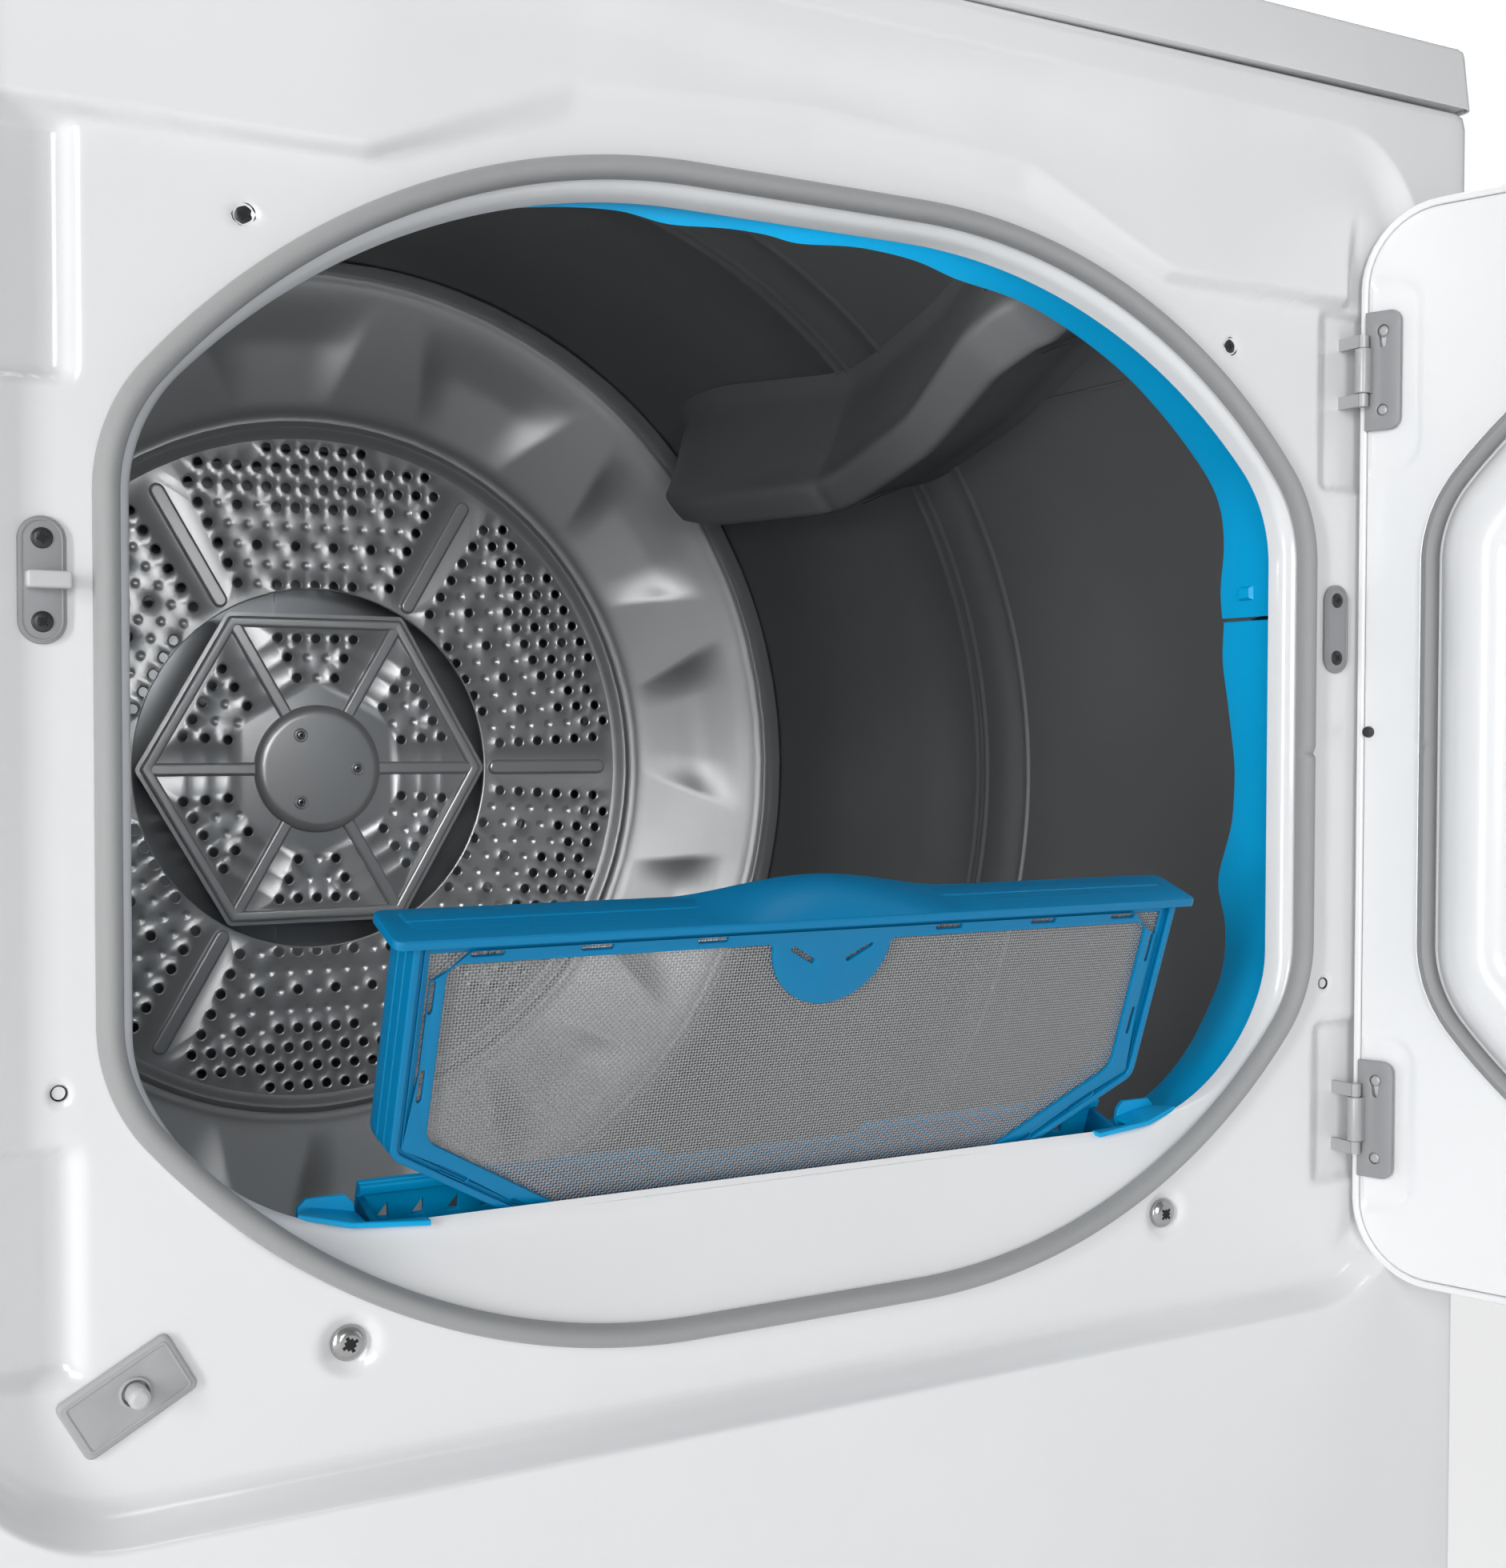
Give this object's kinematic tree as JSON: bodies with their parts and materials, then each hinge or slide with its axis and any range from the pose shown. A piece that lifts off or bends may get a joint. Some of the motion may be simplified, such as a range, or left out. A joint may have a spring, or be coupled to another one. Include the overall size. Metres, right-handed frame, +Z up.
{
  "type": "clothes dryer",
  "caption": "Front-loading vented clothes dryer with a hinged oval-bulge door, a lift-out lint filter, a turning drum with lifters and a belt drive.",
  "frame": {"origin": "on the floor, under the middle of the whole object as it stands with its door open", "axes": "+Z up, -Y out of the front with the door, +X to the right of someone who faces the front"},
  "size_m": [0.8258, 1.2742, 1.118],
  "materials": {
    "white_enamel": "gloss",
    "grey_paint": "satin",
    "zinc_steel": "satin",
    "dark_coat": "satin",
    "steel_mesh": "satin",
    "blue_plastic": "gloss",
    "grey_plastic": "satin",
    "lifter_plastic": "satin",
    "black_plastic": "matte",
    "gasket_foam": "matte",
    "belt_rubber": "matte"
  },
  "bodies": {
    "cabinet": {"front_panel": "white_enamel", "side_panel_left": "white_enamel", "side_panel_right": "white_enamel", "top_cover": "white_enamel", "rear_panel": "white_enamel", "base_pan": "white_enamel", "console_housing": "white_enamel", "foot_front_left": "black_plastic", "foot_front_right": "black_plastic", "foot_rear_left": "black_plastic", "foot_rear_right": "black_plastic", "cord_inlet_bush": "black_plastic", "drive_belt": "belt_rubber", "console_fascia": "grey_plastic", "cover_plate": "grey_plastic", "strike_plate": "grey_plastic", "door_switch_housing": "grey_plastic", "blower_housing": "grey_plastic", "lint_duct": "grey_plastic", "opening_gasket": "gasket_foam", "drum_glide_left": "gasket_foam", "drum_glide_right": "gasket_foam", "upper_bearing_ring": "blue_plastic", "lower_bearing_ring": "blue_plastic", "filter_housing": "blue_plastic", "filter_grille": "blue_plastic", "drum_bearing": "zinc_steel", "bearing_bracket": "zinc_steel", "heater_pan": "zinc_steel", "heater_coil": "zinc_steel", "motor_body": "zinc_steel", "motor_cradle": "zinc_steel", "idler_bracket": "zinc_steel", "blower_foot": "zinc_steel", "exhaust_duct": "zinc_steel", "hinge_bracket_upper": "grey_paint", "hinge_bracket_lower": "grey_paint"},
    "drum": {"drum_shell": "dark_coat", "drum_back": "zinc_steel", "drum_cover_plate": "zinc_steel", "drum_shaft": "zinc_steel", "lifter_1": "lifter_plastic", "lifter_2": "lifter_plastic", "lifter_3": "lifter_plastic"},
    "door": {"door_outer_skin": "white_enamel", "door_inner_panel": "white_enamel", "door_seal": "gasket_foam", "door_catch": "grey_plastic", "door_hinge_leaf_upper": "grey_paint", "door_hinge_leaf_lower": "grey_paint"},
    "lint_filter": {"lint_filter_frame": "blue_plastic", "lint_filter_screen": "steel_mesh"},
    "switch_plunger": {"door_switch_plunger": "grey_plastic"},
    "timer_dial": {"timer_knob": "white_enamel"},
    "heat_dial": {"heat_knob": "white_enamel"},
    "start_key": {"start_button": "grey_plastic"},
    "motor_rotor": {"motor_pulley": "zinc_steel", "blower_wheel": "black_plastic"},
    "belt_tensioner": {"idler_arm": "zinc_steel"},
    "idler_wheel": {"idler_pulley": "black_plastic"}
  },
  "joints": [
    {"name": "drum_spin", "type": "hinge", "parent": "cabinet", "child": "drum", "pos_m": [-0.06835, 0.21813, 0.564], "axis": [0, 1, 0], "continuous": true},
    {"name": "door_hinge", "type": "hinge", "parent": "cabinet", "child": "door", "pos_m": [0.21815, -0.09017, 0.583], "axis": [0, 0, 1], "range_deg": [-108.2, 1.5]},
    {"name": "filter_slide", "type": "slide", "parent": "cabinet", "child": "lint_filter", "axis": [0, -0.3338, 0.9426], "range_m": [-0.0965, 0.012]},
    {"name": "plunger_slide", "type": "slide", "parent": "cabinet", "child": "switch_plunger", "axis": [0, 1, 0], "range_m": [0, 0.005], "stiffness_N_per_m": 150},
    {"name": "timer_turn", "type": "hinge", "parent": "cabinet", "child": "timer_dial", "pos_m": [0.10165, 0.52412, 1.04205], "axis": [0, 0.9578, -0.2875], "continuous": true},
    {"name": "heat_turn", "type": "hinge", "parent": "cabinet", "child": "heat_dial", "pos_m": [-0.02835, 0.52412, 1.04205], "axis": [0, 0.9578, -0.2875], "range_deg": [-120, 120]},
    {"name": "start_push", "type": "slide", "parent": "cabinet", "child": "start_key", "axis": [0, 0.9578, -0.2875], "range_m": [0, 0.004], "stiffness_N_per_m": 150},
    {"name": "motor_spin", "type": "hinge", "parent": "cabinet", "child": "motor_rotor", "pos_m": [-0.21835, 0.11812, 0.118], "axis": [0, 1, 0], "continuous": true},
    {"name": "tensioner_swing", "type": "hinge", "parent": "cabinet", "child": "belt_tensioner", "pos_m": [-0.10028, 0.23112, 0.066], "axis": [0, 1, 0], "range_deg": [0, 6], "stiffness_Nm_per_rad": 2, "springref_deg": -8.59},
    {"name": "idler_spin", "type": "hinge", "parent": "belt_tensioner", "child": "idler_wheel", "pos_m": [-0.12028, 0.23112, 0.13882], "axis": [0, 1, 0], "continuous": true}
  ],
  "couplings": [
    {"joint": "motor_spin", "follows": "drum_spin", "ratio": 33.491},
    {"joint": "idler_spin", "follows": "drum_spin", "ratio": -20.464}
  ]
}
